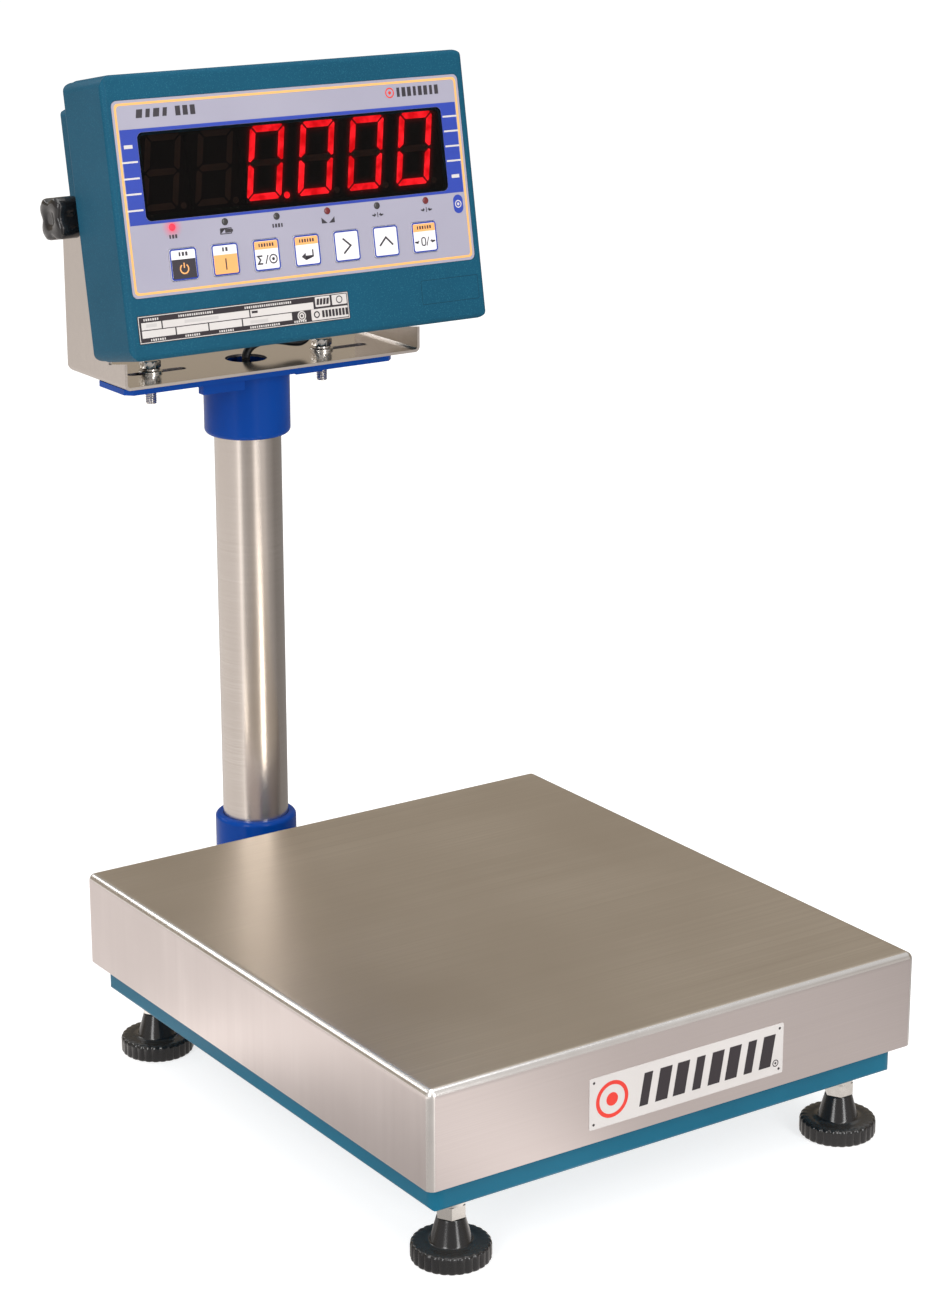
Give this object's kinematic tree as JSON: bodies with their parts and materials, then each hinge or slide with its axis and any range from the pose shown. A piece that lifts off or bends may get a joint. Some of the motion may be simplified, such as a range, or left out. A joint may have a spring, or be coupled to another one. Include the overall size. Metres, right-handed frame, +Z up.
{
  "type": "bench scale",
  "caption": "Bench weighing scale: steel pan on a load cell and levelling feet, with a tilting LED indicator on a column behind it.",
  "frame": {"origin": "on the floor, under the middle of the whole object's outline", "axes": "+X to the right as the user faces the display, +Y away from the user towards the column, +Z up"},
  "size_m": [0.376, 0.5665, 0.6664],
  "materials": {
    "teal_coat": "teal powder coat, satin",
    "housing_teal": "teal paint with a fine sparkle over moulded plastic, satin",
    "zinc_steel": "zinc plated, slightly dull",
    "cell_aluminium": "machined and anodised",
    "black_screws": "blackened",
    "blue_coat": "glossy blue enamel",
    "column_steel": "brushed round the tube",
    "bracket_steel": "mill-finish stainless sheet",
    "pan_steel": "brushed side to side",
    "black_rubber": "matt",
    "cable_jacket": "smooth PVC",
    "level_vial": "clear green",
    "foot_plastic": "moulded, semi-gloss",
    "label_white": "printed film",
    "label_black": "printed film",
    "overlay_film": "printed polyester film, satin",
    "smoked_window": "smoked acrylic",
    "led_red": "seven-segment modules",
    "lens_red": "small lenses",
    "circuit_board": "fibreglass board",
    "battery_case": "moulded",
    "charger": "wound block on a board",
    "brass": "turned",
    "key_film": "printed film"
  },
  "bodies": {
    "base": {"base_tray": "teal_coat", "cell_bridge": "zinc_steel", "foot_nuts": "zinc_steel", "load_cell": "cell_aluminium", "overload_stops": "black_screws", "column_arm": "blue_coat", "base_bolts": "zinc_steel", "column_screws": "black_screws", "column_tube": "column_steel", "column_grommet": "black_rubber", "column_lead": "cable_jacket", "spirit_level": "level_vial"},
    "deck": {"load_cell_live_end": "cell_aluminium", "cell_bolts_upper": "black_screws", "deck_frame": "teal_coat", "deck_pads": "black_rubber"},
    "pan": {"pan": "pan_steel", "pan_label": "label_white"},
    "mast_head": {"cap_socket": "blue_coat", "cap_plate": "blue_coat", "cap_screws": "black_screws", "tilt_bracket": "bracket_steel", "bracket_bolts": "zinc_steel", "lead_loop": "cable_jacket"},
    "indicator": {"front_shell": "housing_teal", "rear_shell": "housing_teal", "shell_gasket": "black_rubber", "case_screws": "zinc_steel", "overlay": "overlay_film", "display_window": "smoked_window", "led_digits": "led_red", "display_board": "circuit_board", "key_switches": "circuit_board", "main_board": "circuit_board", "battery": "battery_case", "power_supply": "charger", "battery_door": "housing_teal", "cable_gland": "cable_jacket", "tilt_inserts": "brass", "rating_label": "label_black", "indicator_lenses": "lens_red"},
    "foot_fl_screw": {"foot_fl_stud": "zinc_steel"},
    "foot_fl": {"foot_fl_pad": "foot_plastic"},
    "foot_fr_screw": {"foot_fr_stud": "zinc_steel"},
    "foot_fr": {"foot_fr_pad": "foot_plastic"},
    "foot_rl_screw": {"foot_rl_stud": "zinc_steel"},
    "foot_rl": {"foot_rl_pad": "foot_plastic"},
    "foot_rr_screw": {"foot_rr_stud": "zinc_steel"},
    "foot_rr": {"foot_rr_pad": "foot_plastic"},
    "knob_left_screw": {"knob_left_stud": "zinc_steel"},
    "knob_left": {"knob_left": "foot_plastic"},
    "knob_right_screw": {"knob_right_stud": "zinc_steel"},
    "knob_right": {"knob_right": "foot_plastic"},
    "key_off": {"key_off": "key_film"},
    "key_on": {"key_on": "key_film"},
    "key_print": {"key_print": "key_film"},
    "key_enter": {"key_enter": "key_film"},
    "key_next": {"key_next": "key_film"},
    "key_up": {"key_up": "key_film"},
    "key_zero": {"key_zero": "key_film"}
  },
  "joints": [
    {"name": "deck_load", "type": "slide", "parent": "base", "child": "deck", "axis": [0, 0, -1], "range_m": [0, 0.0008], "stiffness_N_per_m": 600000, "springref_m": -0.00008},
    {"name": "pan_lift", "type": "slide", "parent": "deck", "child": "pan", "axis": [0, 0, 1], "range_m": [0, 0.08]},
    {"name": "column_swivel", "type": "hinge", "parent": "base", "child": "mast_head", "pos_m": [0, 0.23628, 0.45], "axis": [0, 0, 1], "range_deg": [-170, 170]},
    {"name": "indicator_tilt", "type": "hinge", "parent": "mast_head", "child": "indicator", "pos_m": [0, 0.23628, 0.565], "axis": [-1, 0, 0], "range_deg": [-5, 40], "deforming": ["lead_loop"]},
    {"name": "foot_fl_height", "type": "slide", "parent": "base", "child": "foot_fl_screw", "axis": [0, 0, -1], "range_m": [0, 0.006]},
    {"name": "foot_fl_turn", "type": "hinge", "parent": "foot_fl_screw", "child": "foot_fl", "pos_m": [-0.153, -0.25272, 0.006], "axis": [0, 0, -1], "range_deg": [0, 1440]},
    {"name": "foot_fr_height", "type": "slide", "parent": "base", "child": "foot_fr_screw", "axis": [0, 0, -1], "range_m": [0, 0.006]},
    {"name": "foot_fr_turn", "type": "hinge", "parent": "foot_fr_screw", "child": "foot_fr", "pos_m": [0.153, -0.25272, 0.006], "axis": [0, 0, -1], "range_deg": [0, 1440]},
    {"name": "foot_rl_height", "type": "slide", "parent": "base", "child": "foot_rl_screw", "axis": [0, 0, -1], "range_m": [0, 0.006]},
    {"name": "foot_rl_turn", "type": "hinge", "parent": "foot_rl_screw", "child": "foot_rl", "pos_m": [-0.153, 0.11528, 0.006], "axis": [0, 0, -1], "range_deg": [0, 1440]},
    {"name": "foot_rr_height", "type": "slide", "parent": "base", "child": "foot_rr_screw", "axis": [0, 0, -1], "range_m": [0, 0.006]},
    {"name": "foot_rr_turn", "type": "hinge", "parent": "foot_rr_screw", "child": "foot_rr", "pos_m": [0.153, 0.11528, 0.006], "axis": [0, 0, -1], "range_deg": [0, 1440]},
    {"name": "knob_left_out", "type": "slide", "parent": "indicator", "child": "knob_left_screw", "axis": [-1, 0, 0], "range_m": [0, 0.002]},
    {"name": "knob_left_turn", "type": "hinge", "parent": "knob_left_screw", "child": "knob_left", "pos_m": [-0.136, 0.23628, 0.565], "axis": [-1, 0, 0], "range_deg": [0, 720]},
    {"name": "knob_right_out", "type": "slide", "parent": "indicator", "child": "knob_right_screw", "axis": [1, 0, 0], "range_m": [0, 0.002]},
    {"name": "knob_right_turn", "type": "hinge", "parent": "knob_right_screw", "child": "knob_right", "pos_m": [0.136, 0.23628, 0.565], "axis": [1, 0, 0], "range_deg": [0, 720]},
    {"name": "key_off_press", "type": "slide", "parent": "indicator", "child": "key_off", "axis": [0, 0.9842, -0.1771], "range_m": [0, 0.0005], "stiffness_N_per_m": 400},
    {"name": "key_on_press", "type": "slide", "parent": "indicator", "child": "key_on", "axis": [0, 0.9842, -0.1771], "range_m": [0, 0.0005], "stiffness_N_per_m": 400},
    {"name": "key_print_press", "type": "slide", "parent": "indicator", "child": "key_print", "axis": [0, 0.9842, -0.1771], "range_m": [0, 0.0005], "stiffness_N_per_m": 400},
    {"name": "key_enter_press", "type": "slide", "parent": "indicator", "child": "key_enter", "axis": [0, 0.9842, -0.1771], "range_m": [0, 0.0005], "stiffness_N_per_m": 400},
    {"name": "key_next_press", "type": "slide", "parent": "indicator", "child": "key_next", "axis": [0, 0.9842, -0.1771], "range_m": [0, 0.0005], "stiffness_N_per_m": 400},
    {"name": "key_up_press", "type": "slide", "parent": "indicator", "child": "key_up", "axis": [0, 0.9842, -0.1771], "range_m": [0, 0.0005], "stiffness_N_per_m": 400},
    {"name": "key_zero_press", "type": "slide", "parent": "indicator", "child": "key_zero", "axis": [0, 0.9842, -0.1771], "range_m": [0, 0.0005], "stiffness_N_per_m": 400}
  ],
  "couplings": [
    {"joint": "foot_fl_turn", "follows": "foot_fl_height", "rad_per_m": 4188.8},
    {"joint": "foot_fr_turn", "follows": "foot_fr_height", "rad_per_m": 4188.8},
    {"joint": "foot_rl_turn", "follows": "foot_rl_height", "rad_per_m": 4188.8},
    {"joint": "foot_rr_turn", "follows": "foot_rr_height", "rad_per_m": 4188.8},
    {"joint": "knob_left_turn", "follows": "knob_left_out", "rad_per_m": 6283.2},
    {"joint": "knob_right_turn", "follows": "knob_right_out", "rad_per_m": 6283.2}
  ]
}
